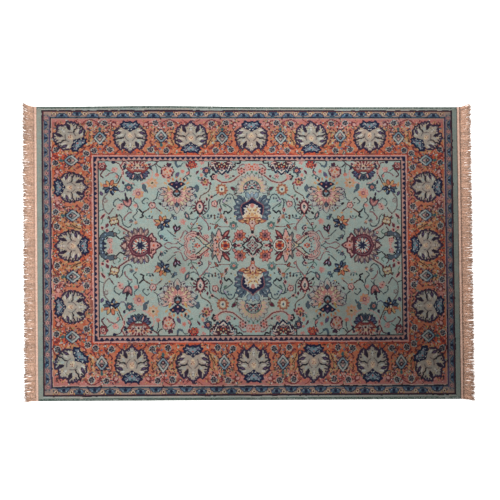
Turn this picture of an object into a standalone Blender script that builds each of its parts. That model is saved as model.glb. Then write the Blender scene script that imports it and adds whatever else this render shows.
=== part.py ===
"""A machine-woven Persian rug that lies flat: a pile carpet, an overcast binding along each long side and a fringe
sewn to each end.

The rug lies on Z = 0 with its length along X and its width along Y. The origin is under the middle of the carpet.
All sizes are in metres.
"""

import math

import bmesh
import bpy

# The carpet with its bindings, but without its fringes.
RUG_LENGTH = 2.300
RUG_WIDTH = 1.600
PILE_THICKNESS = 0.007
EDGE_ROUNDING = 0.0018
GRID_STEPS_X = 40
GRID_STEPS_Y = 28

# The overcast binding of each long side, as thick as a finger-width cord.
BINDING_DIAMETER = 0.0076
BINDING_STEPS = 40

# The fringe: a narrow woven heading, and the locks of yarn that hang from it.
HEADING_WIDTH = 0.018
FRINGE_THICKNESS = 0.0034
LOCK_COUNT = 140
LOCK_WIDTH = 0.0072
LOCK_TIP_SHARE = 0.65
LOCK_LENGTH = 0.053
LOCK_LENGTH_SPREAD = 0.004
LOCK_STEPS = 2
FLARE_BACK = 0.022
FLARE_FRONT = 0.009

# The space that is left between two pieces that touch.
GAP = 0.0003

# How far the rug is out of square at its corners, as woven rugs are.
SKEW_X = 0.0031
SKEW_Y = 0.0044

# The low ripples that folding left in the rug. A ripple falls to half its height at half_length along its crest and
# at half_width across it, and ends at twice that far.
RIPPLE_COLUMNS = ("x", "y", "crest_deg", "half_length", "half_width", "height")
RIPPLES = (
    (-0.185, 0.690, 96, 0.200, 0.050, 0.0040),
    (-0.400, -0.080, 170, 0.130, 0.045, 0.0034),
    (-0.375, 0.350, 130, 0.110, 0.050, 0.0026),
    (0.520, 0.120, 118, 0.170, 0.055, 0.0034),
    (0.430, -0.330, 150, 0.240, 0.070, 0.0042),
    (-0.330, -0.430, 160, 0.150, 0.055, 0.0028),
    (0.880, 0.420, 84, 0.260, 0.060, 0.0030),
    (-0.600, -0.700, 100, 0.150, 0.060, 0.0030),
    (0.100, -0.640, 75, 0.150, 0.060, 0.0026),
)

WOOL_SAGE = (0.33, 0.42, 0.37, 1)
OVERCAST_GREEN = (0.16, 0.24, 0.20, 1)
COTTON_SAND = (0.66, 0.47, 0.35, 1)

for old in list(bpy.data.objects):
    bpy.data.objects.remove(old)
rug = bpy.data.collections.new("persian rug")
bpy.context.scene.collection.children.link(rug)


def lift(x, y):
    """How far the ripples raise the carpet off the floor at a place."""
    raised = 0.0
    for row in RIPPLES:
        ripple = dict(zip(RIPPLE_COLUMNS, row))
        turn = math.radians(ripple["crest_deg"])
        dx = x - ripple["x"]
        dy = y - ripple["y"]
        along = (dx * math.cos(turn) + dy * math.sin(turn)) / ripple["half_length"]
        across = (dy * math.cos(turn) - dx * math.sin(turn)) / ripple["half_width"]
        from_crest = math.hypot(along, across)
        if from_crest < 2:
            raised += ripple["height"] * (1 + math.cos(from_crest * math.pi / 2)) / 2
    return raised


def laid(x, y):
    """Where a place of the squarely cut rug lies once the rug is a little askew."""
    return x - SKEW_X * y / (RUG_WIDTH / 2), y - SKEW_Y * x / (RUG_LENGTH / 2)


def finish(obj, colour, roughness):
    """Gives a piece its own material and puts it in the rug's collection."""
    material = bpy.data.materials.new(obj.name)
    material.use_nodes = True
    shader = material.node_tree.nodes["Principled BSDF"]
    shader.inputs["Base Color"].default_value = colour
    shader.inputs["Roughness"].default_value = roughness
    shader.inputs["Metallic"].default_value = 0.0
    obj.data.materials.clear()
    obj.data.materials.append(material)
    for collection in obj.users_collection:
        collection.objects.unlink(obj)
    rug.objects.link(obj)


def thicken(obj, thickness):
    """Turns a sheet into a solid that stands on the sheet."""
    solid = obj.modifiers.new("thickness", "SOLIDIFY")
    solid.thickness = thickness
    solid.offset = 1


def carpet():
    """The pile carpet: one thin sheet that lies on the floor and follows the ripples."""
    half_width = RUG_WIDTH / 2 - BINDING_DIAMETER - GAP
    bpy.ops.mesh.primitive_grid_add(x_subdivisions=GRID_STEPS_X, y_subdivisions=GRID_STEPS_Y, size=2)
    obj = bpy.context.object
    obj.name = "carpet"
    for vertex in obj.data.vertices:
        x = vertex.co.x * RUG_LENGTH / 2
        y = vertex.co.y * half_width
        vertex.co = (*laid(x, y), lift(x, y))
    thicken(obj, PILE_THICKNESS)
    worn = obj.modifiers.new("worn edges", "BEVEL")
    worn.width = EDGE_ROUNDING
    worn.segments = 1
    worn.limit_method = "ANGLE"
    worn.angle_limit = math.radians(50)
    finish(obj, WOOL_SAGE, 0.95)


def binding(name, side):
    """The overcast binding along one long side: side is 1 at +Y and -1 at -Y."""
    y = side * (RUG_WIDTH - BINDING_DIAMETER) / 2
    curve = bpy.data.curves.new(name, "CURVE")
    curve.dimensions = "3D"
    curve.bevel_depth = BINDING_DIAMETER / 2
    curve.bevel_resolution = 2
    curve.use_fill_caps = True
    line = curve.splines.new("POLY")
    line.use_smooth = True
    line.points.add(BINDING_STEPS)
    for step, point in enumerate(line.points):
        x = RUG_LENGTH * (step / BINDING_STEPS - 0.5)
        point.co = (*laid(x, y), BINDING_DIAMETER / 2 + lift(x, y), 1)
    finish(bpy.data.objects.new(name, curve), OVERCAST_GREEN, 0.9)


def sway(y, end):
    """How far the tips of the locks lean towards +Y at a place along an end: in slow waves, which differ between the
    ends, and outwards at the corners."""
    across = y / (RUG_WIDTH / 2)
    waves = 0.0035 * math.sin(9.1 * y + 0.7 * end) + 0.0018 * math.sin(31 * y + 2.1 * end)
    flare = FLARE_BACK if y > 0 else -FLARE_FRONT
    return waves * (1 - across**2) + flare * across**4


def lock_reach(number):
    """How long a lock is: they are cut unevenly, and one in six has the full length."""
    return LOCK_LENGTH - LOCK_LENGTH_SPREAD * (number * 5 % 6) / 5


def fringe(name, end):
    """The fringe of one end: end is 1 at +X and -1 at -X. The heading is a row of cells as wide, in turn, as the
    space between two locks and as a lock, and each lock is drawn out of its own cell's outer edge."""
    pitch = RUG_WIDTH / LOCK_COUNT
    bpy.ops.mesh.primitive_grid_add(x_subdivisions=1, y_subdivisions=2 * LOCK_COUNT + 1, size=2)
    obj = bpy.context.object
    obj.name = name
    sheet = bmesh.new()
    sheet.from_mesh(obj.data)

    def place(vertex, out, along):
        vertex.co = (*laid(end * (RUG_LENGTH / 2 + out), along), 0)

    outer = sorted((v for v in sheet.verts if v.co.x > 0), key=lambda v: v.co.y)
    inner = sorted((v for v in sheet.verts if v.co.x < 0), key=lambda v: v.co.y)
    for row, out in ((outer, HEADING_WIDTH), (inner, GAP)):
        for number, vertex in enumerate(row):
            lock, far_side = divmod(number - 1, 2)
            root = pitch * (lock + 0.5) - RUG_WIDTH / 2
            along = root + (far_side - 0.5) * LOCK_WIDTH
            place(vertex, out, max(-RUG_WIDTH / 2, min(along, RUG_WIDTH / 2)))
    for lock in range(LOCK_COUNT):
        root = pitch * (lock + 0.5) - RUG_WIDTH / 2
        sides = outer[2 * lock + 1 : 2 * lock + 3]
        edge = sheet.edges.get(sides)
        for step in range(1, LOCK_STEPS + 1):
            share = step / LOCK_STEPS
            half = LOCK_WIDTH / 2 * (1 - (1 - LOCK_TIP_SHARE) * share)
            out = HEADING_WIDTH + lock_reach(lock) * share
            middle = root + sway(root, end) * share**1.5
            drawn = bmesh.ops.extrude_edge_only(sheet, edges=[edge])["geom"]
            edge = next(part for part in drawn if isinstance(part, bmesh.types.BMEdge))
            near, far = sorted(edge.verts, key=lambda v: v.co.y)
            place(near, out, middle - half)
            place(far, out, middle + half)
    for face in sheet.faces:
        face.normal_update()
        if face.normal.z < 0:
            face.normal_flip()
    sheet.to_mesh(obj.data)
    sheet.free()
    thicken(obj, FRINGE_THICKNESS)
    finish(obj, COTTON_SAND, 0.85)


carpet()
binding("binding_back", 1)
binding("binding_front", -1)
fringe("fringe_left", -1)
fringe("fringe_right", 1)
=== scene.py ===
"""The looks of a machine-woven Persian rug that lies flat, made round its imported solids."""

import math

import bpy
import numpy as np
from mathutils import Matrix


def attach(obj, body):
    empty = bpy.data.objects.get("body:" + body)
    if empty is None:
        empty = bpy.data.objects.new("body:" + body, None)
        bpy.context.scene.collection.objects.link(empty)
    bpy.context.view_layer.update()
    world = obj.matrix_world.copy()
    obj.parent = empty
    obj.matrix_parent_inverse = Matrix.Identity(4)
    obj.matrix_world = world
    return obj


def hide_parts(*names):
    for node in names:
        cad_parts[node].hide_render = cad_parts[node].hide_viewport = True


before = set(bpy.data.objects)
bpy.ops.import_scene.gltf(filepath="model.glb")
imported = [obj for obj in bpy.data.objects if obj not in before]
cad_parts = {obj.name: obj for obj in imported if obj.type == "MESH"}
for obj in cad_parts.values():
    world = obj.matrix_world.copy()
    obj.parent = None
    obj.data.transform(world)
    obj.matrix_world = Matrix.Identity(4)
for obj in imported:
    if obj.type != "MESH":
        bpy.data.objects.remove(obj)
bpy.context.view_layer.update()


# --------------------------------------------------------------------------------------------------------
# The woven ground. The real one is a plain weave of jute and cotton that carries the pile; only its
# underside and its cut ends show. It is one piece, and low ripples from folding still run through it.

RUG_LENGTH = 2.300
RUG_WIDTH = 1.600
BINDING_DIAMETER = 0.0076
GAP = 0.0003  # between the carpet and each binding
PILE_HEIGHT = 0.007
GROUND_THICKNESS = 0.0028
GROUND_STEP = 0.026  # from one point of its mesh to the next
CARPET_WIDTH = RUG_WIDTH - 2 * (BINDING_DIAMETER + GAP)
SKEW_X = 0.0031  # how far the back edge lies to the left, and the front edge to the right
SKEW_Y = 0.0044  # how far the right end lies to the front, and the left end to the back
BULGE = 0.0058  # how far the back edge bulges out about its left half
BULGE_PLACE = -0.50
BULGE_REACH = 0.40
BULGE_DEPTH = 0.035
RIPPLE_COLUMNS = ("x", "y", "crest_deg", "half_length", "half_width", "height")
RIPPLES = (
    (-0.185, 0.690, 96, 0.200, 0.050, 0.0040),
    (-0.400, -0.080, 170, 0.130, 0.045, 0.0034),
    (-0.375, 0.350, 130, 0.110, 0.050, 0.0026),
    (0.520, 0.120, 118, 0.170, 0.055, 0.0034),
    (0.430, -0.330, 150, 0.240, 0.070, 0.0042),
    (-0.330, -0.430, 160, 0.150, 0.055, 0.0028),
    (0.880, 0.420, 84, 0.260, 0.060, 0.0030),
    (-0.600, -0.700, 100, 0.150, 0.060, 0.0030),
    (0.100, -0.640, 75, 0.150, 0.060, 0.0026),
)


def lift(x, y):
    """How far the ripples raise the rug off the floor at each place."""
    raised = 0.0 * (x + y)
    for row in RIPPLES:
        ripple = dict(zip(RIPPLE_COLUMNS, row))
        turn = math.radians(ripple["crest_deg"])
        dx = x - ripple["x"]
        dy = y - ripple["y"]
        along = (dx * math.cos(turn) + dy * math.sin(turn)) / ripple["half_length"]
        across = (dy * math.cos(turn) - dx * math.sin(turn)) / ripple["half_width"]
        from_crest = np.minimum(np.hypot(along, across), 2.0)
        raised = raised + ripple["height"] * (1 + np.cos(from_crest * math.pi / 2)) / 2
    return raised


def laid(x, y, height):
    """Points of the squarely woven rug, moved to where they lie: askew, on ripples, and out at the back."""
    near_edge = np.clip(1 - (RUG_WIDTH / 2 - y) / BULGE_DEPTH, 0, 1)
    bulge = BULGE * near_edge * np.exp(-(((x - BULGE_PLACE) / BULGE_REACH) ** 2))
    askew_x = x - SKEW_X * y / (RUG_WIDTH / 2)
    askew_y = y - SKEW_Y * x / (RUG_LENGTH / 2) + bulge
    return np.stack([askew_x, askew_y, height + lift(x, y)], axis=-1)


def grid_faces(rows, columns, closed=False):
    """The faces of a grid of points, with its last column joined to its first where it is closed."""
    across = columns if closed else columns - 1
    first = np.arange(rows - 1)[:, None] * columns + np.arange(across)[None, :]
    beside = np.arange(rows - 1)[:, None] * columns + (np.arange(across) + 1)[None, :] % columns
    return np.stack([first, beside, beside + columns, first + columns], axis=-1).reshape(-1, 4)


def new_piece(name, points, faces):
    """A mesh object, shaded smooth, from its points and faces."""
    mesh = bpy.data.meshes.new(name)
    corners = [list(map(int, face)) for face in faces]
    mesh.from_pydata(np.asarray(points).reshape(-1, 3).tolist(), [], corners)
    mesh.update()
    mesh.polygons.foreach_set("use_smooth", [True] * len(mesh.polygons))
    piece = bpy.data.objects.new(name, mesh)
    bpy.context.scene.collection.objects.link(piece)
    return piece


def linear(colour):
    """A hex colour as the linear colour that Blender's shaders take."""
    parts = [int(colour[place : place + 2], 16) / 255 for place in (1, 3, 5)]
    return tuple(part / 12.92 if part <= 0.04045 else ((part + 0.055) / 1.055) ** 2.4 for part in parts)


def new_material(name, **sockets):
    """A material with its main shader, whose constant values are set on its own sockets."""
    material = bpy.data.materials.new(name)
    material.use_nodes = True
    tree = material.node_tree
    shader = tree.nodes["Principled BSDF"]
    for socket, value in sockets.items():
        shader.inputs[socket.replace("_", " ")].default_value = value
    return material, tree, shader


def add(tree, kind, inputs=None, stops=(), **settings):
    """Adds a node. Its inputs are values or other nodes' outputs, and its stops places and hex colours."""
    node = tree.nodes.new("ShaderNode" + kind)
    for number, (place, colour) in enumerate(stops):
        node.color_ramp.elements[number].color = (*linear(colour), 1)
        node.color_ramp.elements[number].position = place
    for name, value in settings.items():
        setattr(node, name, value)
    for name, value in (inputs or {}).items():
        if isinstance(value, bpy.types.NodeSocket):
            tree.links.new(value, node.inputs[name])
        else:
            node.inputs[name].default_value = value
    return node


def woven_ground():
    """A slab under the whole pile: its top is hidden, and its sides and underside follow the ripples."""
    columns = round(RUG_LENGTH / GROUND_STEP) + 1
    rows = round(CARPET_WIDTH / GROUND_STEP) + 1
    x = np.linspace(-RUG_LENGTH / 2, RUG_LENGTH / 2, columns)
    y = np.linspace(-CARPET_WIDTH / 2, CARPET_WIDTH / 2, rows)
    x, y = np.meshgrid(x, y)
    top = laid(x, y, GROUND_THICKNESS)
    under = laid(x, y, 0.0)
    points = np.concatenate([top.reshape(-1, 3), under.reshape(-1, 3)])
    upper = grid_faces(rows, columns)
    count = rows * columns
    rim = np.concatenate(
        [
            np.arange(columns - 1),
            np.arange(rows - 1) * columns + columns - 1,
            np.arange(count - 1, count - columns, -1),
            np.arange(rows - 1, 0, -1) * columns,
        ]
    )
    beside = np.roll(rim, -1)
    wall = np.stack([rim, rim + count, beside + count, beside], axis=-1)
    return new_piece("woven_ground", points, np.concatenate([upper, upper[:, ::-1] + count, wall]))


# Jute and cotton, plain woven and sized with latex: dull, straw coloured, with a small square grain.
JUTE = "#b79d78"
JUTE_SHADE = "#7d6548"
WEFT_MM = 4.0  # a real weft is about 2.5 mm from the next, too fine to show
SLUB_MM = 16.7
WAVES_A_SCALE = 20 / math.tau  # how many waves a metre the wave texture makes at a scale of 1


def jute_ground_weave():
    material, tree, shader = new_material("jute ground weave", Roughness=0.92)
    place = add(tree, "TexCoord").outputs["Object"]
    scale = 1000 / (2 * WEFT_MM) / WAVES_A_SCALE
    wefts = {"Vector": place, "Scale": scale, "Distortion": 0.6, "Detail": 1.0}
    heights = []
    for direction in ("X", "Y"):
        thread = add(tree, "TexWave", wefts, wave_type="BANDS", bands_direction=direction)
        heights.append(thread.outputs["Fac"])
    weave = add(tree, "Math", {0: heights[0], 1: heights[1]}, operation="MULTIPLY").outputs[0]
    slub = add(tree, "TexNoise", {"Vector": place, "Scale": 1000 / SLUB_MM, "Detail": 4.0}).outputs["Fac"]
    mixed = add(tree, "Math", {0: weave, 1: slub}, operation="ADD").outputs[0]
    halved = add(tree, "Math", {0: mixed, 1: 0.5}, operation="MULTIPLY").outputs[0]
    # Partly painted shade: the colour follows the weave's height, darker in the hollows between threads; the
    # slubs are the jute's own tone.
    ramp = add(tree, "ValToRGB", {"Fac": halved}, ((0.2, JUTE_SHADE), (0.7, JUTE)))
    tree.links.new(ramp.outputs["Color"], shader.inputs["Base Color"])
    bump = add(tree, "Bump", {"Height": weave, "Strength": 0.6, "Distance": 0.0008})
    tree.links.new(bump.outputs["Normal"], shader.inputs["Normal"])
    return material


ground = woven_ground()
ground.data.materials.append(jute_ground_weave())
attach(ground, "root")


# --------------------------------------------------------------------------------------------------------
# The pile. The real one is short cut yarn, woven into the ground in rows of tufts, and their colours make a
# border of palmettes on coral and a field of flowers on sage. One quarter is charted and woven four times in
# mirror image, and it sits a little off the middle of this rug, where the cloth was cut.

KNOT_MM = 3.3  # a real tuft is about half as wide
KNOT_COLUMNS = round(RUG_LENGTH * 1000 / KNOT_MM)
STRIPS = 4
STRIP_ROWS = round(CARPET_WIDTH * 1000 / KNOT_MM / STRIPS)

# The yarns of the pile, as they look in white light.
YARNS = {
    "sage": "#9aa59d",
    "coral": "#c4685a",
    "grey_sage": "#a1a29b",
    "end_sage": "#8c958c",
    "green": "#4f6a5c",
    "maroon": "#512330",
    "dark_red": "#6c2c30",
    "wine": "#571b30",
    "red": "#aa4538",
    "dusk": "#7b5458",
    "rust": "#8d5244",
    "salmon": "#b37b73",
    "pink": "#ba9189",
    "rose": "#b1978d",
    "faded_rose": "#ab867d",
    "orange": "#b26e52",
    "amber": "#b38d65",
    "ochre": "#ab8a55",
    "cream": "#c4b297",
    "olive": "#afa387",
    "pale": "#b9b4aa",
    "beige": "#9f968a",
    "taupe": "#6f6461",
    "stone": "#857873",
    "brown": "#553226",
    "dark": "#2a2228",
    "ink": "#17121c",
    "plum": "#33233a",
    "mauve": "#5b4b68",
    "lilac": "#a49bab",
    "night": "#0a1236",
    "navy": "#1a2540",
    "slate": "#4b5963",
    "blue_grey": "#56677a",
    "steel": "#7b8a90",
    "sky": "#8398a6",
    "vine": "#3c474b",
    "teal": "#33505a",
    "guard": "#9a8377",
}
YARN_NUMBERS = {yarn: number for number, yarn in enumerate(YARNS)}

# The chart of one quarter, in millimetres from the middle of the pattern. Its cells are finer than a tuft.
CELL_MM = 1.25
CHART_LENGTH_MM = RUG_LENGTH * 500
CHART_WIDTH_MM = RUG_WIDTH * 500
chart = np.zeros((round(CHART_WIDTH_MM / CELL_MM), round(CHART_LENGTH_MM / CELL_MM)), np.uint8)
RIM_MM = 3.6  # how far a rim shows round a line, a leaf or a dot
LEAF_FULLNESS = 0.8  # under 1, a leaf's ends are blunter than a sine's


def dye(cells, where, yarn):
    """Gives cells their yarn. An outline that a stroke leaves out has no yarn."""
    if yarn:
        cells[where] = YARN_NUMBERS[yarn]


def cells_near(route, reach):
    """The cells of the chart near a run of points, and where their middles are."""
    low = np.floor((route.min(axis=0) - reach) / CELL_MM).astype(int).clip(0)
    high = np.ceil((route.max(axis=0) + reach) / CELL_MM).astype(int).clip(0)
    cells = chart[low[1] : high[1], low[0] : high[0]]
    x = (np.arange(cells.shape[1]) + low[0] + 0.5)[None, :] * CELL_MM
    y = (np.arange(cells.shape[0]) + low[1] + 0.5)[:, None] * CELL_MM
    return cells, x, y


def curve_through(points):
    """A smooth run of points through a few."""
    if len(points) < 3:
        return points
    padded = np.vstack([points[:1], points, points[-1:]])
    before, start, end, after = padded[:-3], padded[1:-2], padded[2:-1], padded[3:]
    drawn = []
    for share in (0.0, 0.2, 0.4, 0.6, 0.8):
        bend = share * (1 - share) / 2
        straight = start + (end - start) * share
        from_start = (1 - share) * (2 * start - before - end)
        drawn.append(straight + bend * from_start + bend * share * (2 * end - start - after))
    return np.vstack([np.stack(drawn, axis=1).reshape(-1, 2), points[-1:]])


def distance_to(route, x, y):
    """How far each place is from a route of straight steps."""
    nearest = np.full(np.broadcast(x, y).shape, 1e9)
    for (ax, ay), (bx, by) in zip(route[:-1], route[1:]):
        dx, dy = bx - ax, by - ay
        share = (((x - ax) * dx + (y - ay) * dy) / (dx * dx + dy * dy + 1e-9)).clip(0, 1)
        nearest = np.minimum(nearest, np.hypot(x - ax - share * dx, y - ay - share * dy))
    return nearest


def line(points, yarn, rim, size):
    """A vine or an outline, size wide."""
    route = curve_through(points)
    cells, x, y = cells_near(route, size / 2 + RIM_MM)
    away = distance_to(route, x, y)
    dye(cells, away < size / 2 + RIM_MM, rim)
    dye(cells, away < size / 2, yarn)


def hold(route, yarn, rim, size):
    """Dyes what a route holds, and an outline size wide along the route itself."""
    cells, x, y = cells_near(route, size)
    held = np.zeros(cells.shape, bool)
    for (ax, ay), (bx, by) in zip(route, np.roll(route, -1, axis=0)):
        if ay != by:
            held ^= ((ay > y) != (by > y)) & (x < (bx - ax) * (y - ay) / (by - ay) + ax)
    dye(cells, held, yarn)
    if rim:
        dye(cells, distance_to(route, x, y) < size / 2, rim)


def fill(points, yarn, rim, size):
    """What a smooth run of points holds, with an outline size wide."""
    hold(curve_through(points), yarn, rim, size)


def cut(points, yarn, rim, size):
    """What a run of straight steps holds, with an outline as fill has."""
    hold(points, yarn, rim, size)


def leaf(points, yarn, rim, size):
    """A leaf or petal from the first point to the last, size wide."""
    (ax, ay), (bx, by) = points[0], points[-1]
    length = math.hypot(bx - ax, by - ay)
    cells, x, y = cells_near(points, size + RIM_MM)
    along = ((x - ax) * (bx - ax) + (y - ay) * (by - ay)) / length
    across = np.abs((y - ay) * (bx - ax) - (x - ax) * (by - ay)) / length
    for grow, dyed in ((RIM_MM, rim), (0, yarn)):
        share = ((along + grow) / (length + 2 * grow)).clip(0, 1)
        dye(cells, across < (size / 2 + grow) * np.sin(math.pi * share) ** LEAF_FULLNESS, dyed)


def dots(points, yarn, rim, size):
    """Round spots, size across."""
    for point in points:
        cells, x, y = cells_near(point[None, :], size)
        away = np.hypot(x - point[0], y - point[1])
        dye(cells, away < size / 2 + RIM_MM, rim)
        dye(cells, away < size / 2, yarn)


TOOLS = {"line": line, "fill": fill, "cut": cut, "leaf": leaf, "dots": dots}
BOTH_SIDES = (1, -1)


def in_chart(p, q, x, y, turn, size=1.0, side=1):
    """Where a motif's own point p, q lies in the chart."""
    along = size * math.cos(math.radians(turn))
    across = size * math.sin(math.radians(turn))
    return x + side * p * along - q * across, y + side * p * across + q * along


def weave(motif, x=0.0, y=0.0, turn=0.0, size=1.0, sides=(1,)):
    """Dyes a motif's strokes about a place of the chart, on both sides if it is the same left and right."""
    for tool, yarn, rim, width, points in motif:
        for side in sides:
            p, q = np.array(points, float).T
            placed = np.stack(in_chart(p, q, x, y, turn, size, side), axis=1)
            TOOLS[tool](placed, yarn, rim, width * size)


PETAL_FROM = 0.1  # as shares of how wide a round flower is
PETAL_TO = 0.53
RING_ACROSS = 0.42
HEART_ACROSS = 0.2


def rosette(x, y, across, petals, petal_yarns, rim, ring, heart):
    """Dyes a round flower: petals about a ring about a heart. Its first petal points its own way."""
    petal = [(0, PETAL_FROM * across), (0, PETAL_TO * across)]
    for number in range(petals):
        yarn = petal_yarns[number * len(petal_yarns) // petals]
        weave([("leaf", yarn, rim, 2 * across / petals, petal)], x, y, x + number * 360 / petals)
    weave([("dots", ring, rim, RING_ACROSS * across, [(0, 0)])], x, y)
    weave([("dots", heart, None, HEART_ACROSS * across, [(0, 0)])], x, y)


def fan(count, first, last, inner, outer, x=0, y=0):
    """The ends of petals spread about x, y, from first to last in degrees from the top."""
    petals = []
    for number in range(count):
        turn = math.radians(first + (last - first) * number / (count - 1))
        petals.append([(x + away * math.sin(turn), y + away * math.cos(turn)) for away in (inner, outer)])
    return petals


def strokes(drawing):
    """The strokes of a motif that is drawn in words: each one's tool, yarn, rim's yarn, size and points."""
    rows = []
    for word in drawing.replace(":", "").split():
        if word in (*TOOLS, "fan"):
            rows.append([])
        rows[-1].append(word)
    found = []
    for tool, yarns, size, *places in rows:
        yarn, _, rim = yarns.partition("/")
        numbers = [int(part) for part in ",".join(places).split(",")]
        if tool == "fan":
            found += [("leaf", yarn, rim, int(size), petal) for petal in fan(*numbers)]
        else:
            found.append((tool, yarn, rim, int(size), list(zip(numbers[::2], numbers[1::2]))))
    return found


# Motifs, drawn in millimetres. Each stroke is a tool, its yarn and any yarn of its rim, its size, and
# the points it goes through. A fan of leaves has instead how many, from and to what turn, from and to how
# far out, and where its middle is if that isn't 0,0. A motif that is the same left and right gives one side.
PALMETTE = strokes("""
    cut beige/plum 10: 0,98 9,86 17,81 25,72 36,66 51,76 58,67 70,59 71,47 81,40 79,29 88,20 83,8 91,-4
        84,-17 83,-33 71,-43 60,-54 43,-58 28,-48 0,-40
    leaf plum 21: 45,70 27,26
    leaf ink 10: 38,56 28,30
    leaf plum 9: 16,86 12,68
    leaf plum 10: 64,70 54,50
    leaf plum 10: 78,54 60,42
    leaf dusk 9: 90,8 72,9
    leaf plum 10: 80,-42 58,-36
    leaf dusk 9: 60,-58 46,-44
    line ink 8: 90,20 74,17 60,9 44,9 34,3
    leaf plum 18: 84,-15 44,-28
    leaf mauve 7: 70,-18 54,-25
    leaf ink 8: 88,-2 66,-6
    leaf plum 9: 76,35 58,29
    dots plum 8: 82,6 76,-34 60,-47 62,58 48,44 64,42 82,-22
    dots mauve 7: 20,66 70,48 66,4 0,84
    leaf grey_sage 12: 50,36 38,14
    leaf pale 9: 70,-3 38,-13
    leaf pale 9: 66,-38 38,-36
    leaf olive 9: 58,50 46,32
    leaf olive 8: 56,-48 40,-47
    leaf pale 12: 0,34 0,72
    leaf olive 9: 22,44 10,64
    dots taupe 7: 6,52 0,64 18,54
    line taupe 6: 10,25 23,12 29,-2 25,-18
    cut cream/beige 8: 0,18 12,10 19,-4 12,-20 0,-28
    dots rust 7: 0,-6 7,2
    dots rose 9: 0,8 11,-10
    cut steel/night 11: 0,-33 13,-44 26,-50 40,-59 52,-75 41,-78 34,-92 18,-83 0,-88
    line navy 6: 0,-46 13,-55 25,-64 40,-67
    leaf mauve 8: 16,-72 36,-74
    dots pale 6: 8,-42 32,-54 24,-76
    dots teal 13: 0,-78
    dots red 8: 0,-60
""")

MEDALLION = strokes("""
    leaf dusk 9: 24,20 40,34
    leaf stone 8: 28,-16 42,-32
    cut stone/navy 6: 0,35 35,-5 0,-49
    line steel 8: 0,26 25,-3
    line grey_sage 9: 25,-10 0,-40
    line vine 6: 0,16 17,-4
    line vine 5: 17,-9 0,-30
    dots maroon/ink 15: 0,4
    dots rose 7: 0,4
    dots pink 10: 0,-17
    dots ink 10: 0,30 23,-28
    leaf teal/green 11: 0,36 0,54
    dots brown 9: 36,-6 17,28
    dots night 9: 34,8 14,-47 26,22
    dots pink 8: 30,44 0,-54 46,14
    dots ochre 9: 46,-10 20,52
    dots brown 8: 50,4 34,-40 14,-52
    leaf rust 8: 48,22 60,36
    leaf maroon 8: 50,-20 60,-34
""")

LOZENGE = strokes("""
    cut slate/navy 4: 0,25 15,23 27,13 37,0 0,0
    leaf blue_grey 10: 8,14 30,3
    dots night 17: 0,12
    dots teal 8: 12,5 0,22
    dots sky 6: 13,17
""")

STAR = strokes("""
    dots stone/grey_sage 30: 0,0
    dots ink 11: 0,-11 9,7
    dots plum 9: 11,-5 0,12
    dots slate 9: 6,-1
    dots dark 9: 0,0
    dots dusk 5: 0,0
""")

BAY = strokes("""
    fill orange 0: 92,652 112,650 118,600 108,560 88,576 92,620
    fill amber 0: 196,650 240,652 244,600 232,566 200,590 206,620
    leaf orange 20: 114,632 130,600
    leaf orange 22: 190,634 214,604
    leaf orange/brown 14: 232,600 226,650
    leaf orange 22: 84,596 104,556
    leaf orange 18: 118,600 140,572
    leaf orange 14: 172,590 196,572
    dots orange 20: 225,534 165,530 80,540 262,540
    dots orange 16: 152,562
    leaf rust 16: 0,512 40,520
    leaf salmon 18: 56,704 76,690
    leaf rust 16: 240,700 262,690
    leaf pink/dark_red 16: 78,686 98,698
    line dark_red 5: 80,700 94,706 104,698 102,686 96,676
    line dark_red 6: 166,700 176,692 170,682
    line dark_red 5: 164,690 186,700
    line dark_red 6: 174,704 192,714 214,722 240,712 254,698
    line dark_red 4: 280,722 296,712 310,700
    line brown 6: 116,654 109,638 112,622
    line dark_red 7: 112,594 108,586 118,574 122,568
    line brown 7: 212,616 222,600 232,584 234,572
    line dark_red 8: 134,566 140,556 148,542
    line dark_red 8: 202,570 212,554 226,546
    line maroon 6: 62,540 72,534 80,522
    line dark_red 4: 88,516 140,517 232,516
    line dark_red 5: 182,594 194,586
    line brown 4: 152,690 160,684
    line dark_red 5: 176,680 184,672
    line brown 5: 240,560 256,552 270,558
    dots maroon 11: 134,664 222,664
    dots brown 9: 216,644 168,726
    dots grey_sage 11: 210,583 184,678 250,535
    dots grey_sage/dark_red 9: 144,527 97,674
    dots blue_grey 11: 162,548 128,562
    dots green 8: 218,630 108,610
""")

PALE_PALMETTE = strokes("""
    fan grey_sage/mauve 35: 4 78,160 34,104
    fan rose/plum 13: 5 70,168 44,90
    fan olive/dusk 15: 4 84,154 40,76
    leaf grey_sage/plum 32: 0,-50 0,-112
    leaf rose 14: 0,-60 0,-100
    dots sage 84: 0,-12
    fan pink/dusk 17: 5 62,168 24,56
    fan cream 8: 4 70,160 34,52
    leaf ochre 13: 36,12 50,44
    dots slate/rose 14: 66,10
    dots plum 9: 86,22 92,-6 72,-40 34,-84 50,-66
    dots maroon 8: 30,22 46,-12 26,-44 52,-36
    dots salmon 20: 15,-38
    dots cream 9: 24,-48 6,-28
    leaf slate/plum 15: 0,-52 0,-78
    dots dark 44: 0,2
    dots steel 24: 0,0
    dots rust 15: 0,10
    dots ink 12: 9,-9
    fan amber 11: 3 14,46 72,96
    dots orange 10: 0,92 22,80 46,72 36,86
    cut night 0: 0,80 11,64 24,68 34,62 50,52 30,41 14,27 0,22
    dots orange 10: 26,53
    dots mauve 13: 0,60
    dots pink 10: 0,38
""")

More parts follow.
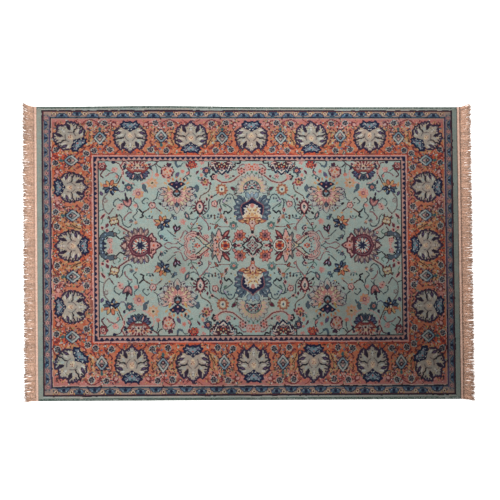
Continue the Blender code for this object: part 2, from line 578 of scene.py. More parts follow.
# On the middle line across the rug, so one side is enough.
FAN_LOTUS = strokes("""
    fan slate/navy 30: 3 82,124 58,102
    fan slate/navy 34: 2 46,60 52,108
    leaf navy 8: 46,44 72,66
    fan steel/slate 22: 2 0,16 62,100
    fan steel 7: 3 82,122 70,92
    fan steel 7: 3 36,64 74,96
    fan sky 7: 2 2,14 72,92
    fan mauve 7: 3 90,126 84,100
    dots pale 7: 0,96 12,90 52,72 80,44 88,-6
    cut night/dusk 6: 0,66 14,52 32,40 56,27 63,10 60,-14 54,-38 0,-50
    cut pale 0: 0,30 8,26 19,30 20,20 34,22 30,10 48,8 38,-4 46,-14 38,-22 54,-36 52,-52 0,-58
    fill cream 0: 0,16 12,8 22,-8 46,-40 30,-52 0,-54
    dots salmon 23: 0,21
    dots coral 11: 0,12 0,24
    dots dusk 9: 8,-6 16,-24 26,12 32,-14
    leaf ochre 10: 10,-14 30,8
    dots amber 20: 0,-30 22,-40
    cut amber/rust 6: 0,-44 20,-50 42,-46 52,-58 76,-64 54,-76 38,-70 24,-82 0,-84
    cut rose/rust 6: 0,-60 16,-66 20,-80 10,-94 8,-112 0,-122
    leaf brown 8: 20,-64 54,-64
    dots wine 10: 14,-56 0,-78 34,-76
    dots cream 9: 8,-62 40,-56
    dots coral 10: 0,-104
    dots ink 15: 0,-122
""")

# A pale one stands beyond it, with grey outlines.
GHOST_LOTUS = strokes("""
    fan grey_sage/taupe 22: 6 0,104 52,86
    fan olive/rose 18: 6 0,100 42,70
    fan pink 6: 5 9,92 48,64
    dots slate 94: 0,0
    dots sage 84: 0,0
    fan mauve 5: 6 6,106 34,42
    fan ink 9: 4 20,100 26,40
    dots maroon/pink 11: 0,6 24,20 34,4
    line dusk 5: 0,24 14,26 24,18
    line slate 5: 10,-6 26,-8 44,-22
    line taupe 6: 84,0 96,-16 90,-34 76,-48
""")

# On the middle line along the rug, so half of it falls outside the quarter.
FLAME_LOTUS = strokes("""
    cut rose/vine 7: 0,106 10,94 18,82 30,69 54,76 73,71 60,62 50,54 72,46 92,31 76,24 53,18 58,8 44,8 30,0
        0,0
    leaf taupe 12: 38,66 68,71
    leaf pink 18: 44,40 88,32
    leaf dark_red/ink 20: 36,16 84,-22
    leaf salmon 8: 54,4 74,-14
    leaf maroon 13: 34,-2 50,-28
    line dusk 5: 0,66 14,64 26,52 24,40 38,28
    leaf beige 11: 12,78 26,60
    leaf olive 20: 0,62 0,104
    line slate 6: 0,84 10,76 24,66
    leaf coral 10: 14,42 34,44
    leaf amber 11: 42,34 50,50
    dots pink 12: 0,58 20,56
    dots ink 9: 0,70 34,52 12,48 56,20
    dots rust 8: 50,42 28,60 36,36
    dots ink 76: 0,0
    dots pale 67: 0,0
    dots vine 52: 0,0
    fan coral/maroon 15: 4 20,160 8,24
    dots olive 9: 12,14 16,-12
    leaf wine 12: 0,12 0,-18
    cut maroon/ink 5: 0,-40 14,-52 0,-68
    leaf salmon/maroon 12: 18,-40 36,-58
""")

TENT_PALMETTE = strokes("""
    fan taupe/ink 24: 6 8,114 54,100
    fan beige/dusk 8: 6 8,114 64,94
    fan mauve 8: 5 18,104 78,104
    fan pink 8: 5 18,104 58,74
    fill rose/maroon 6: 0,108 10,92 18,78 0,70
    cut maroon/wine 6: 0,64 22,54 46,44 58,20 56,-14 42,-42 0,-52
    line dusk 5: 0,57 24,47 42,34 50,12 47,-14 34,-36
    cut plum 0: 0,47 26,36 38,15 35,-16 22,-32 0,-38
    fan pale/navy 9: 7 0,180 14,42
    fan salmon 7: 6 14,166 28,44
    fan navy 10: 4 0,180 6,24
    dots night 16: 0,0
    dots coral 9: 22,22 26,-14
    cut pink/maroon 8: 0,-50 26,-52 50,-46 68,-64 46,-70 38,-84 20,-84 10,-104 0,-116
    leaf brown 9: 12,-64 44,-60
    dots coral 13: 0,-72
    dots wine 11: 0,-94 22,-72 40,-56
""")

EDGE_LOTUS = strokes("""
    line ink 30: -8,-10 -8,26 -20,54 -46,66 -70,62
    line slate 21: -8,-10 -8,26 -20,54 -46,66 -70,62
    leaf navy 15: -4,44 -30,30
    leaf navy 15: -6,18 -38,8
    dots sky 9: -14,38 -8,20 -30,60 -6,4
    dots taupe/ink 15: -82,62
    line ink 7: -88,54 -98,44 -110,36 -120,42 -134,40
    dots wine/pink 13: -40,84 -14,98
    dots pink 13: -58,6
""")

# The top of the field cuts this one short.
CUT_PALMETTE = strokes("""
    fan rose/maroon 22: 6 96,180 14,66 0,72
    fan plum 9: 5 100,172 26,60 0,72
    fan pale 7: 4 106,166 44,62 0,72
    fan maroon/ink 12: 4 104,180 12,34 0,76
    dots slate/pink 12: 0,30
    dots olive 9: 0,54 28,56 14,66
    dots coral 8: 12,50 0,70
    line pale 7: 0,16 14,29 28,24 38,40 46,62
    line night 9: 0,5 13,18 22,25 31,16 41,33 49,52
    line dark 6: 46,40 54,38 60,54 70,50 74,78
    leaf teal 11: 26,14 26,34
    leaf steel 7: 56,56 64,78
""")

# A red band parts its petals: warm above, blue below.
RED_PALMETTE = strokes("""
    fan navy/plum 18: 3 108,144 26,68
    fan blue_grey 6: 3 108,144 34,62
    fan slate/ink 18: 3 160,200 26,64
    fan navy 7: 3 160,200 34,58
    fan mauve 6: 2 118,134 48,66
    leaf ink 10: 24,-34 34,-60
    leaf pink 7: 18,-26 26,-50
    fan rose/maroon 20: 5 0,80 20,62
    fan dark_red 9: 5 4,76 34,58
    fan olive 6: 4 10,70 48,64
    fan plum/pink 12: 3 20,64 62,80
    line dark_red 10: 0,-12 14,-10 28,-16 42,-6 56,8
    line rust 6: 0,-4 14,-2 28,-8 42,2 54,12
    dots olive 22: 0,18
    dots ink/pink 12: 0,10
    dots maroon 11: 14,24 30,12
    dots orange 12: 28,26 46,26
    line pink 5: 70,4 82,-20 70,-52 44,-72 20,-82
    leaf plum 12: 60,16 80,-2
    dots teal/ink 9: 70,18
""")

SPIKED_FLOWER = strokes("""
    fan maroon 9: 6 16,158 22,44
    fill pink/maroon 9: 0,34 14,24 21,6 19,-12 10,-28 0,-42
    fill pale 0: 0,22 8,14 12,0 6,-14 0,-26
    leaf ink 11: 18,-18 4,-42
    leaf dark 14: 0,18 0,-10
    dots steel 7: 0,2
    dots pink 10: 0,-24
    dots salmon 11: 0,-48 0,40
    dots dusk 7: 38,14 36,-14 24,34
""")

PEONY = strokes("""
    fill rose 0: 0,30 20,28 30,8 24,-18 0,-30
    leaf pink/maroon 11: 12,30 34,6
    leaf wine 10: 34,12 24,-24
    leaf maroon/salmon 9: 24,-20 4,-34
    leaf plum/maroon 12: -4,32 10,52
    leaf coral 9: 6,18 22,2
    leaf olive 9: 0,12 12,-10
    dots coral 9: 8,-16 0,0
    dots ink 8: 30,-16 22,34
""")

TULIP = strokes("""
    fill dusk/plum 5: 0,20 10,16 24,24 22,0 12,-18 0,-24
    leaf salmon 8: 16,16 10,-12
    leaf pink 6: 5,2 3,-18
    leaf ink 18: 0,4 0,38
    leaf plum 8: 0,30 2,60
    line vine 5: 0,-22 -4,-38 -12,-48
""")

CARNATION = strokes("""
    leaf plum 20: 0,-26 0,14
    leaf wine/ink 10: 0,-12 20,12
    leaf ink 10: 2,4 16,24
    leaf lilac 5: 4,-6 10,10
    dots rust 9: 0,-26
""")

SQUARE_FLOWER = strokes("""
    fill olive/brown 6: 0,22 12,16 24,26 20,8 24,-6 18,-24 8,-18 0,-26
    leaf maroon 9: 15,17 24,32
    leaf dark_red 9: 15,-15 24,-30
    leaf amber 8: 4,12 16,-2
    dots pale 10: 8,-6
    dots dusk 11: 0,2
    dots brown 8: 0,20 19,2 0,-24
    dots green 9: 28,20
""")

RAYED_FLOWER = strokes("""
    fan rust 10: 6 0,168 16,35
    fan amber 8: 5 14,154 18,31
    fill olive/rust 6: 0,24 14,18 19,2 14,-14 0,-20
    fill pale 0: 0,16 9,10 12,0 8,-10 0,-13
    leaf teal 11: 0,9 0,-7
""")

CUP_FLOWER = strokes("""
    dots pink/maroon 28: 0,0
    dots pale 15: 0,0
    leaf dusk 8: 0,8 0,-8
    leaf maroon 7: 10,16 18,2
    dots salmon 7: 0,20 12,-16
""")

# The middle of the whole pattern.
CENTRE_LOZENGE = strokes("""
    line pink 5: 0,66 12,50 34,26 56,0
    leaf ink 10: 0,54 20,34
    leaf maroon/ink 11: 14,38 34,18
    leaf ink 10: 34,22 60,-4
    dots maroon 10: 30,40 48,20
    dots vine 8: 20,52 62,10 38,30
    line dusk 5: 0,32 16,16 32,0
    leaf wine 9: 8,22 22,6
    dots maroon/pink 11: 0,0
    dots wine 8: 15,0 0,16
    dots vine 7: 9,9 25,0
    leaf wine/salmon 10: 66,0 86,0
    dots ink 15: 0,72
""")

# Dark leaves on one side of its heart and warm ones on the other.
PINWHEEL = strokes("""
    leaf amber/brown 15: -4,6 -26,30
    leaf orange/brown 16: 4,8 2,40
    leaf amber/ink 14: 10,4 34,26
    leaf orange/dusk 13: 12,-4 42,0
    leaf navy/ink 17: -8,4 -42,-2
    leaf blue_grey 7: -16,4 -38,2
    leaf navy/ink 17: -6,-8 -24,-36
    leaf sky 5: -12,-12 -24,-28
    leaf night/slate 16: 4,-8 18,-40
    leaf blue_grey 6: 6,-14 14,-32
    leaf slate/ink 12: 10,-6 36,-24
    dots night 20: 0,-4
    dots pale 11: 2,2
    dots amber 8: -6,-14 16,6 -30,-14
    dots ink 8: 12,18 -14,14
""")

# Two outlines, rose and pink, round small flowers.
SHIELD = strokes("""
    line rose/dusk 7: 64,50 73,28 68,4 54,-14 38,-20 24,-12 10,-22 0,-18
    line pink 5: 54,44 60,22 54,4 38,-6 22,0 10,-8 0,-6
    line dark_red/rose 6: 0,128 18,104 42,76 64,50
    line olive 4: 0,108 16,86 34,64 50,46
    dots maroon/ink 12: 64,50
    dots coral/rose 14: 0,56
    dots slate 9: 0,40 8,22
    line maroon 5: 20,24 26,34 36,28 34,16
    dots pink 8: 27,22
    dots wine 7: 0,56 44,12 30,8
    dots salmon 7: 14,78 12,4 48,30
    dots vine 7: 78,38 80,10 30,100 52,78 66,-12
    line rose 5: 16,-34 26,-50 42,-50
    line vine 5: 0,-30 8,-48 22,-60
""")

# Leaves in twos, on a bit of stem.
SPRIG = strokes("""
    line slate 5: -20,0 0,-3 20,0
    leaf ink 11: -14,2 -24,16
    leaf teal 12: 2,2 -4,20
    leaf green 11: 16,2 26,14
    dots pink 10: 10,-10
""")

# Where each flower of the field sits: its motif, its middle, its turn in degrees, its size, and its sides.
FLOWERS = (
    (GHOST_LOTUS, 0, 318, 0, 1.0, (1,)),
    (FAN_LOTUS, 0, 200, 0, 1.0, (1,)),
    (SHIELD, 345, 0, 90, 1.0, BOTH_SIDES),
    (FLAME_LOTUS, 148, 0, -90, 1.0, BOTH_SIDES),
    (TENT_PALMETTE, 606, 0, -90, 1.0, BOTH_SIDES),
    (EDGE_LOTUS, 821, 0, 0, 1.0, (1,)),
    (CENTRE_LOZENGE, 0, 0, 0, 1.0, (1,)),
    (RAYED_FLOWER, 165, 312, 0, 1.05, BOTH_SIDES),
    (CUP_FLOWER, 205, 230, 14, 1.0, BOTH_SIDES),
    (CUP_FLOWER, 540, 222, -20, 1.05, BOTH_SIDES),
    (CUT_PALMETTE, 163, 392, 0, 1.0, BOTH_SIDES),
    (RED_PALMETTE, 618, 426, 0, 1.0, BOTH_SIDES),
    (PALE_PALMETTE, 408, 290, 0, 1.0, BOTH_SIDES),
    (SPIKED_FLOWER, 285, 212, 0, 1.0, BOTH_SIDES),
    (PEONY, 458, 412, 12, 1.0, BOTH_SIDES),
    (TULIP, 672, 238, -12, 1.0, BOTH_SIDES),
    (CARNATION, 412, 92, 16, 1.0, BOTH_SIDES),
    (SQUARE_FLOWER, 745, 138, -14, 1.0, BOTH_SIDES),
    (PINWHEEL, 760, 326, 20, 1.05, (1,)),
    (PINWHEEL, 486, 126, -18, 1.0, (1,)),
    (SPRIG, 240, 152, -8, 1.0, (1,)),
    (SPRIG, 276, 366, 20, 0.9, (1,)),
    (SPRIG, 356, 386, 150, 1.0, (1,)),
    (SPRIG, 480, 34, 40, 0.8, (1,)),
    (SPRIG, 22, 328, 60, 0.9, (1,)),
    (SPRIG, 556, 152, 0, 0.8, (1,)),
)

# Round flowers: middle, how wide, how many petals, and the yarns of petals, rim, ring and heart. Two petal
# yarns share the round.
ROSETTES = (
    (68, 55, 60, 8, ("orange", "salmon"), "dark_red", "dusk", "ink"),
    (540, 350, 58, 8, ("amber", "amber"), "rose", "olive", "ink"),
    (615, 290, 54, 8, ("rose", "amber"), "salmon", "dusk", "pink"),
    (103, 110, 42, 7, ("steel", "slate"), "green", "pink", "red"),
    (665, 325, 42, 7, ("teal", "slate"), "vine", "salmon", "brown"),
    (246, 420, 42, 6, ("mauve", "slate"), "ink", "salmon", "rust"),
    (255, 355, 46, 7, ("brown", "dark_red"), "salmon", "ochre", "brown"),
    (57, 417, 42, 6, ("dark", "brown"), "pink", "salmon", "red"),
    (380, 132, 38, 6, ("salmon", "rose"), None, "salmon", "pink"),
    (715, 214, 38, 6, ("pink", "rose"), None, "salmon", "maroon"),
    (22, 378, 30, 5, ("taupe", "mauve"), None, "lilac", "rose"),
    (322, 455, 44, 6, ("red", "coral"), "maroon", "orange", "red"),
    (208, 384, 42, 5, ("ink", "salmon"), None, "pink", "plum"),
    (375, 416, 24, 5, ("salmon", "salmon"), None, "coral", "salmon"),
    (790, 250, 30, 6, ("stone", "taupe"), None, "grey_sage", "stone"),
    (250, 48, 24, 5, ("wine", "maroon"), "pink", "pink", "wine"),
    (322, 62, 30, 5, ("wine", "maroon"), "pink", "wine", "pink"),
    (767, 28, 26, 5, ("brown", "dusk"), "pink", "pink", "brown"),
    (136, 387, 22, 5, ("wine", "dusk"), "pink", "wine", "dusk"),
    (166, 160, 28, 5, ("rust", "rose"), None, "amber", "brown"),
    (630, 222, 24, 5, ("salmon", "pink"), None, "salmon", "coral"),
    (515, 395, 24, 5, ("salmon", "coral"), None, "salmon", "coral"),
    (740, 426, 34, 6, ("pink", "salmon"), None, "pink", "dusk"),
    (805, 445, 46, 6, ("dark_red", "salmon"), "maroon", "rose", "wine"),
    (628, 127, 24, 5, ("rose", "taupe"), None, "amber", "rust"),
    (654, 134, 26, 5, ("slate", "stone"), None, "taupe", "ink"),
    (492, 46, 26, 5, ("ink", "mauve"), None, "mauve", "plum"),
    (420, 152, 26, 5, ("slate", "plum"), None, "sky", "ink"),
    (20, 440, 44, 6, ("coral", "salmon"), "rose", "pink", "rust"),
    (208, 450, 40, 6, ("salmon", "rose"), "salmon", "pink", "rust"),
    (580, 444, 26, 5, ("plum", "ink"), None, "slate", "ink"),
    (345, 36, 24, 5, ("salmon", "coral"), None, "rose", "wine"),
    (302, 0, 30, 5, ("coral", "salmon"), None, "rose", "slate"),
    (270, 470, 30, 5, ("rose", "salmon"), None, "pink", "dusk"),
)

# Stems and leaves of the field.
VINES = strokes("""
    line dark_red/rose 6: 66,394 86,377 106,361 128,354 154,351 180,360 197,380 192,394
    line vine 5: 0,394 12,384 20,368 34,370 44,382 56,372 70,356 78,338 70,312 58,290
    line brown 6: 230,336 231,314 246,296 266,285 282,272 287,250
    line vine 6: 192,284 214,272 230,256 236,232 235,208 246,186 268,168
    line dusk 7: 282,164 262,142 244,120 238,100 238,84
    line maroon 5: 290,164 304,136 322,112 332,94 330,72
    line vine 5: 296,158 314,144 330,146 344,150
    line dark_red 5: 122,104 150,102 178,104 204,115 230,120
    line green 5: 168,152 184,138 200,122
    line green 6: 300,98 316,94 330,90 342,96 350,108
    line ink 6: 214,50 224,30 238,14 256,6 274,16 288,34 304,44 316,56
    line plum 6: 292,112 278,106 273,94 286,82 277,68 280,52 292,42
    leaf wine/pink 12: 284,92 296,100
    leaf wine/pink 12: 284,68 298,60
    line dusk 6: 338,66 352,74 368,80 378,64 386,46 402,34 424,40
    line dusk 6: 390,26 410,12 434,10 456,18 478,4
    line vine 5: 460,84 446,72 432,58 416,50
    line vine 5: 494,84 506,76 509,64 504,54 494,48
    line vine 6: 500,316 510,296 514,276 520,258 536,248
    line maroon 6: 496,188 510,200 524,212
    line brown 7: 558,204 572,194 588,184
    line ink 9: 610,200 600,188 590,182 594,170 589,162 604,154
    line vine 6: 634,266 640,250 624,234 615,216 622,200 621,184 634,170 643,158 628,142
    line vine 6: 560,256 574,265 586,254 595,242 584,232
    line dusk 7: 652,184 666,182 678,168 690,152 688,140
    line vine 6: 718,172 704,156 701,134 692,114 676,103 660,104 650,118
    line maroon/rose 7: 664,76 690,92 722,114
    line taupe 7: 776,296 788,280 800,262 804,236 800,208 790,190 772,174
    line maroon 6: 748,207 760,190 772,174
    line vine 5: 802,200 814,196 830,188
    line vine 6: 724,258 736,254 747,240 745,224 736,218
    line vine 5: 702,246 712,253 722,264
    line brown 7: 700,396 708,378 717,360 724,346
    line vine 5: 716,392 722,372 732,358
    line maroon 7: 506,478 520,462 536,450 552,440
    line ink 6: 516,460 504,446 492,440
    line vine 5: 522,454 514,434 512,408
    line plum 7: 346,474 339,452 344,436 338,414 346,398 360,386
    leaf wine/pink 12: 344,438 354,462
    leaf salmon/wine 11: 342,416 350,398
    line vine 5: 354,464 368,466 380,458 384,444
    line slate 12: 388,448 402,444 410,458 410,476
    leaf mauve/slate 14: 396,410 412,382
    line vine 6: 98,256 104,276 118,286 134,283 146,266 160,242
    leaf lilac 9: 142,262 160,238
    line vine 6: 160,238 144,228 126,216 112,204 116,190
    line ink 9: 114,194 124,186 132,180 143,189 152,186 156,174
    line vine 7: 152,256 168,258 176,240 172,218 166,200
    line vine 5: 170,257 184,250 188,240
    leaf green 10: 140,212 162,230
    dots slate 12: 118,263 132,262 138,248
    line vine 5: 168,196 172,182 168,170
    leaf wine/pink 12: 176,186 176,206
    dots slate 12: 184,172 188,156
    dots brown 12: 205,164 204,150
    leaf brown/pink 12: 136,120 154,150
    leaf wine 13: 247,246 247,268
    leaf ink/pink 12: 214,274 228,264
    leaf green 12: 228,272 242,284
    leaf slate/teal 20: 300,338 300,300
    leaf teal 12: 298,262 312,290
    line vine 5: 312,318 326,328 340,330
    leaf ink 13: 322,188 338,170
    line green 5: 318,222 330,212 338,198
    leaf slate/ink 17: 346,144 364,186
    leaf pink 8: 350,154 360,178
    leaf teal 12: 424,156 440,176
    line vine 5: 424,172 436,158 448,142
    leaf ink 13: 490,222 506,240
    leaf amber 12: 486,184 500,178
    leaf rust/pink 10: 514,124 534,144
    leaf slate/teal 17: 588,348 578,302
    leaf slate 11: 576,318 562,290
    leaf teal 11: 632,334 646,352
    leaf teal 10: 582,374 604,362
    leaf maroon/pink 13: 696,222 712,230
    dots wine 12: 721,200
    leaf wine/pink 12: 792,176 816,146
    line green 5: 806,150 806,132 814,118
    leaf ink 11: 788,36 776,46
    line green 5: 722,88 713,76 720,66 734,64
    line green 5: 794,74 804,84 810,94
    leaf pink/wine 12: 662,22 684,34
    line maroon 7: 694,20 702,10 708,0
    leaf wine/green 17: 86,304 116,326
    leaf ink 13: 80,290 100,284
    line green 5: 62,296 78,302 90,314
    leaf amber/pink 12: 270,400 278,384
    leaf wine 12: 286,424 304,398
    dots salmon 14: 274,430 274,398 300,444
    leaf slate 11: 242,380 260,398
    leaf wine 14: 220,338 236,358
    dots wine 14: 101,388
    line green 5: 112,380 128,372
    line vine 6: 84,428 96,424 112,432 126,424
    line ink 9: 60,480 66,464 82,464
    line dusk 7: 32,452 52,457 68,446 80,426
    dots green 12: 24,404 0,412
    line dark_red/rose 6: 692,478 700,458 708,444 696,424 694,400
    line maroon 6: 704,440 716,462 736,468
    dots night 20: 747,470
    line dusk 7: 726,434 748,412 770,404 786,388
    line green 6: 764,418 776,426 788,436
    line maroon 8: 796,424 808,408 814,394 800,382
    line vine 5: 720,394 732,406 750,412
    leaf salmon 14: 726,376 730,400
    leaf amber 14: 808,324 814,356
    leaf slate 9: 796,320 798,340
    leaf plum 14: 690,340 696,362
    leaf maroon/pink 10: 746,352 758,368
    line maroon 6: 690,478 676,462 660,452
    line vine 5: 596,366 600,386 592,404 606,420
    line vine 5: 444,246 456,232 470,228 478,214
    dots maroon 9: 470,206 446,200 700,300 352,236 388,216
    dots ink 8: 460,200 430,208 566,236 118,150 186,90
    dots ochre 9: 452,192 546,186 300,120 96,160 716,330
    leaf mauve/plum 12: 816,300 806,280
    line mauve 5: 716,306 704,298 690,304 686,316
    leaf dark 9: 620,380 612,400
    line dusk 5: 340,300 330,284 338,268 328,254
    dots slate 10: 326,250 250,318 20,250 44,200
    leaf rust/ink 9: 190,116 206,92
    line vine 5: 150,130 140,144 150,158
    dots pink/maroon 9: 330,120 232,96 780,110 690,70
    leaf wine/dusk 10: 776,120 788,100
    line maroon 5: 740,100 752,84 748,64 760,50
""")

# The stripes that frame the field: how far in from the rug's edge each ends.
EDGE_STRIPES_MM = (
    (12.0, "green"), (21.5, "grey_sage"), (27.0, "dark"), (31.5, "maroon"), (60.0, "guard"),
    (66.0, "slate"), (71.5, "ink"), (75.0, "rose"), (290.0, "coral"), (296.0, "pink"),
    (319.5, "faded_rose"), (326.0, "dark"),
)
END_STRIPES_MM = (  # at the short ends, and how far in from a long side each starts
    (26.5, 10, "end_sage"), (32.0, 23, "dark"), (36.5, 29, "maroon"), (65.0, 40, "stone"),
    (70.0, 58, "mauve"), (75.0, 65, "ink"), (79.0, 72, "rose"),
)
TOOTH_START_MM = 297.5
TOOTH_MM = 17.5
TOOTH_PITCH_MM = 27.6
TOOTH_BREADTH = 1.22  # over 1, the bases of the teeth run together

# The outer guard: how far in from the edge its motifs sit, and how far from a corner its rows end.
GUARD_PITCH_MM = 81.3
LOZENGE_BASES_MM = (65, 33)
END_LOZENGE_BASE_MM = 39
END_LOZENGE_SIZE = 0.74
DOT_IN_MM = 43
END_DOT_IN_MM = 51
LOZENGE_CORNER_MM = 60
END_DOT_CORNER_MM = 40
GUARD_DOT = strokes("""
    dots cream/dusk 19: 0,0
    dots brown 11: 0,0
    dots ochre 7: 15,8
    dots teal 8: 14,-8
""")
END_GUARD_DOT = strokes("""
    dots pink/dusk 15: 0,0
    dots maroon 8: 0,0
    dots slate 9: 15,-10 14,8
""")

# Where the border's motifs sit: middle, turn in degrees, and size or, for a bay, side. Each bay has stars.
PALMETTES = (
    (0, 620, 180, 1.0), (329, 616, 0, 1.0), (655, 620, 180, 1.0),
    (975, 621, -45, 0.97), (972, 325, 90, 0.95), (968, 0, -90, 0.95),
)
MEDALLIONS = (
    (160, 620, 0, 1.0), (489, 616, 180, 1.0), (816, 620, 0, 1.0),
    (976, 480, -90, 1.0), (970, 166, -90, 1.0),
)
BAYS = ((0, 0, 0, 1), (658, 0, 0, -1), (652, 0, 0, 1), (350, 326, -90, 1), (350, 326, -90, -1))
STARS = ((139, 702), (218, 697), (112, 543), (195, 538))
STAR_SIZE = 0.95

# Small leaves and buds fill the ground between them.
SOWN_FROM_MM = 84  # how far in from the edge they start and end
SOWN_TO_MM = 284
SOWN_GAP_MM = 6  # between those along the sides and those along the ends
SOWN_ALONG_SIDES = 1500
SOWN_ALONG_ENDS = 820
SMALL_LEAF_MM = 7
SMALL_LEAF_LENGTHS_MM = (9, 20)
SMALL_LEAF_STRAY_DEG = 16
SMALL_LEAVES = (  # the yarns of a leaf, and of the bud at its tip
    ("dark_red", None), ("maroon", None), ("brown", "amber"), ("amber", None), ("amber", "brown"),
    ("orange", None), ("green", "olive"), ("ink", None), ("dark_red", "pink"), ("pink", None),
    ("teal", "pale"), ("dusk", "dark_red"),
)


def frame_stripes():
    """The straight stripes, and the guard of teeth inside the border."""
    x = (np.arange(chart.shape[1]) + 0.5)[None, :] * CELL_MM
    y = (np.arange(chart.shape[0]) + 0.5)[:, None] * CELL_MM
    from_end = CHART_LENGTH_MM - x
    from_side = CHART_WIDTH_MM - y
    inward = np.minimum(from_end, from_side)
    for end, yarn in reversed(EDGE_STRIPES_MM):
        dye(chart, inward < end, yarn)
    for end, side, yarn in reversed(END_STRIPES_MM):
        dye(chart, (from_end < end) & (from_side > side), yarn)
    for along, depth, other in ((x, from_side, from_end), (y, from_end, from_side)):
        saw = np.abs((along / TOOTH_PITCH_MM) % 1 - 0.5) * 2
        into = (depth - TOOTH_START_MM) / TOOTH_MM
        here = (into > 0) & (into < 1) & (other > TOOTH_START_MM)
        dye(chart, here & (saw < TOOTH_BREADTH - into), "night")


def sow(count, x_reach, y_reach):
    """Dyes small leaves and buds here and there."""
    for _ in range(count):
        x, y = random.uniform(*x_reach), random.uniform(*y_reach)
        yarn, bud = SMALL_LEAVES[random.integers(len(SMALL_LEAVES))]
        turn = 45 + 90 * random.integers(4) + random.normal(0, SMALL_LEAF_STRAY_DEG)
        length = random.uniform(*SMALL_LEAF_LENGTHS_MM)
        weave([("leaf", yarn, None, SMALL_LEAF_MM, [(0, -length / 2), (0, length / 2)])], x, y, turn)
        if bud:
            weave([("dots", bud, None, SMALL_LEAF_MM, [(0, length / 2 + 2)])], x, y, turn)


def outer_guard():
    """Lozenges and dots in turn, between two dark stripes."""
    for number in range(round(CHART_LENGTH_MM / GUARD_PITCH_MM)):
        between = (number + 0.5) * GUARD_PITCH_MM
        inward = number % 2
        base = CHART_WIDTH_MM - LOZENGE_BASES_MM[inward]
        if between < CHART_LENGTH_MM - LOZENGE_CORNER_MM:
            weave(LOZENGE, between, base, 180 * inward, 1, BOTH_SIDES)
        if between < CHART_WIDTH_MM - LOZENGE_CORNER_MM:
            weave(LOZENGE, CHART_LENGTH_MM - END_LOZENGE_BASE_MM, between, 90, END_LOZENGE_SIZE, BOTH_SIDES)
        at = number * GUARD_PITCH_MM
        if at < CHART_LENGTH_MM - LOZENGE_CORNER_MM:
            weave(GUARD_DOT, at, CHART_WIDTH_MM - DOT_IN_MM, 0, 1, BOTH_SIDES)
        if at < CHART_WIDTH_MM - END_DOT_CORNER_MM:
            weave(END_GUARD_DOT, CHART_LENGTH_MM - END_DOT_IN_MM, at, 90, 1, BOTH_SIDES)


random = np.random.default_rng(24)
weave(VINES)
for flower in ROSETTES:
    rosette(*flower)
for flower in FLOWERS:
    weave(*flower)
frame_stripes()
outer_guard()
sown_length = (CHART_LENGTH_MM - SOWN_TO_MM, CHART_LENGTH_MM - SOWN_FROM_MM)
sown_width = (CHART_WIDTH_MM - SOWN_TO_MM, CHART_WIDTH_MM - SOWN_FROM_MM)
sow(SOWN_ALONG_SIDES, (0, sown_length[1]), sown_width)
sow(SOWN_ALONG_ENDS, sown_length, (0, sown_width[0] - SOWN_GAP_MM))
for x, y, turn, side in BAYS:
    weave(BAY, x, y, turn, 1, (side,))
    for p, q in STARS:
        star_x, star_y = in_chart(p, q, x, y, turn, 1, side)
        weave(STAR, star_x, star_y, turn + p, STAR_SIZE, BOTH_SIDES)
for seat in MEDALLIONS:
    weave(MEDALLION, *seat, BOTH_SIDES)
for seat in PALMETTES:
    weave(PALMETTE, *seat, BOTH_SIDES)

# Dye lots: the coral ground changes colour from weft to weft, from the middle of the rug to each long side.
CORAL_LOTS_MM = (
    (0, "#b3502f"), (80, "#b35638"), (150, "#ae724a"), (200, "#ae7262"), (260, "#ae655c"),
    (340, "#ae7655"), (420, "#b15032"), (500, "#b84b2d"), (560, "#b45b39"), (600, "#b27a50"),
    (640, "#b27557"), (690, "#b1655b"), (730, "#af716a"),
)
OFF_MIDDLE_X_MM = 20.0  # how far the pattern's middle is from the rug's
OFF_MIDDLE_Y_MM = 42.0
WANDER_MM = 0.5
WANDER_TUFTS = (5, 24)  # over how many tufts the pattern wanders
TUFT_SHADE = 0.075
CLOUD_SHADE = 0.06
CLOUD_TUFTS = (9, 40)
SHADE_RANGE = (0.4, 1.3)
HUE_SHADE = 0.035
HUE_TUFTS = (2, 5, 30)
WARM = (1.0, -0.3, -0.7)  # what a warmer lot has more of in red, green and blue
YARN_TONE = 0.80
MID_TONE = 0.23  # the tone that the yarns' contrast leaves as it is
CONTRAST = 1.1
RIGHT_END_PAINTED_SHADE = 0.17  # painted shade: the pile is darker towards the right end, where the light falls off
RIGHT_END_PAINTED_SHADE_START = 0.1
PAINTED_SHADE_PATCHES_COLUMNS = ("x", "y", "half_length", "half_width", "shade")
PAINTED_SHADE_PATCHES = (  # painted shade: darker patches where ripples and dents lie in shade, and over the lower right
    (0.52, -0.36, 0.50, 0.28, 0.25),
    (0.90, -0.52, 0.26, 0.22, 0.24),
    (-0.41, -0.07, 0.09, 0.09, 0.24),
    (-0.14, -0.22, 0.07, 0.08, 0.18),
    (0.48, 0.12, 0.14, 0.13, 0.18),
    (0.52, -0.33, 0.12, 0.08, 0.14),
    (-0.14, 0.66, 0.06, 0.08, 0.20),
    (0.02, -0.34, 0.08, 0.07, 0.14),
    (-0.95, 0.45, 0.12, 0.35, 0.12),
    (-0.10, -0.75, 0.12, 0.06, 0.20),
    (0.50, 0.38, 0.10, 0.12, 0.18),
    (1.08, 0.12, 0.07, 0.22, 0.18),
)
WASH = 0.05  # how far the wash has dulled each colour towards grey
WASH_GREY = "#97919d"


def clouds(shape, cell):
    """Smooth random values about 0, that change over cell tufts."""
    smoothed = random.standard_normal((shape[0] // cell + 3, shape[1] // cell + 3))
    for axis, size in enumerate(shape):
        place = np.arange(size) / cell
        low = place.astype(int)
        share = place - low
        share = share * share * (3 - 2 * share)
        share = share[:, None] if axis == 0 else share[None, :]
        smoothed = np.take(smoothed, low, axis) * (1 - share) + np.take(smoothed, low + 1, axis) * share
    return smoothed


def chart_place(place, half, off_middle):
    """Where in the pattern a place of the rug is: the pattern's middle is off_middle from the rug's."""
    stretch = half * half / (2 * off_middle)
    return stretch * (1 - np.sqrt(1 - 4 * off_middle * (place - off_middle) / (half * half)))


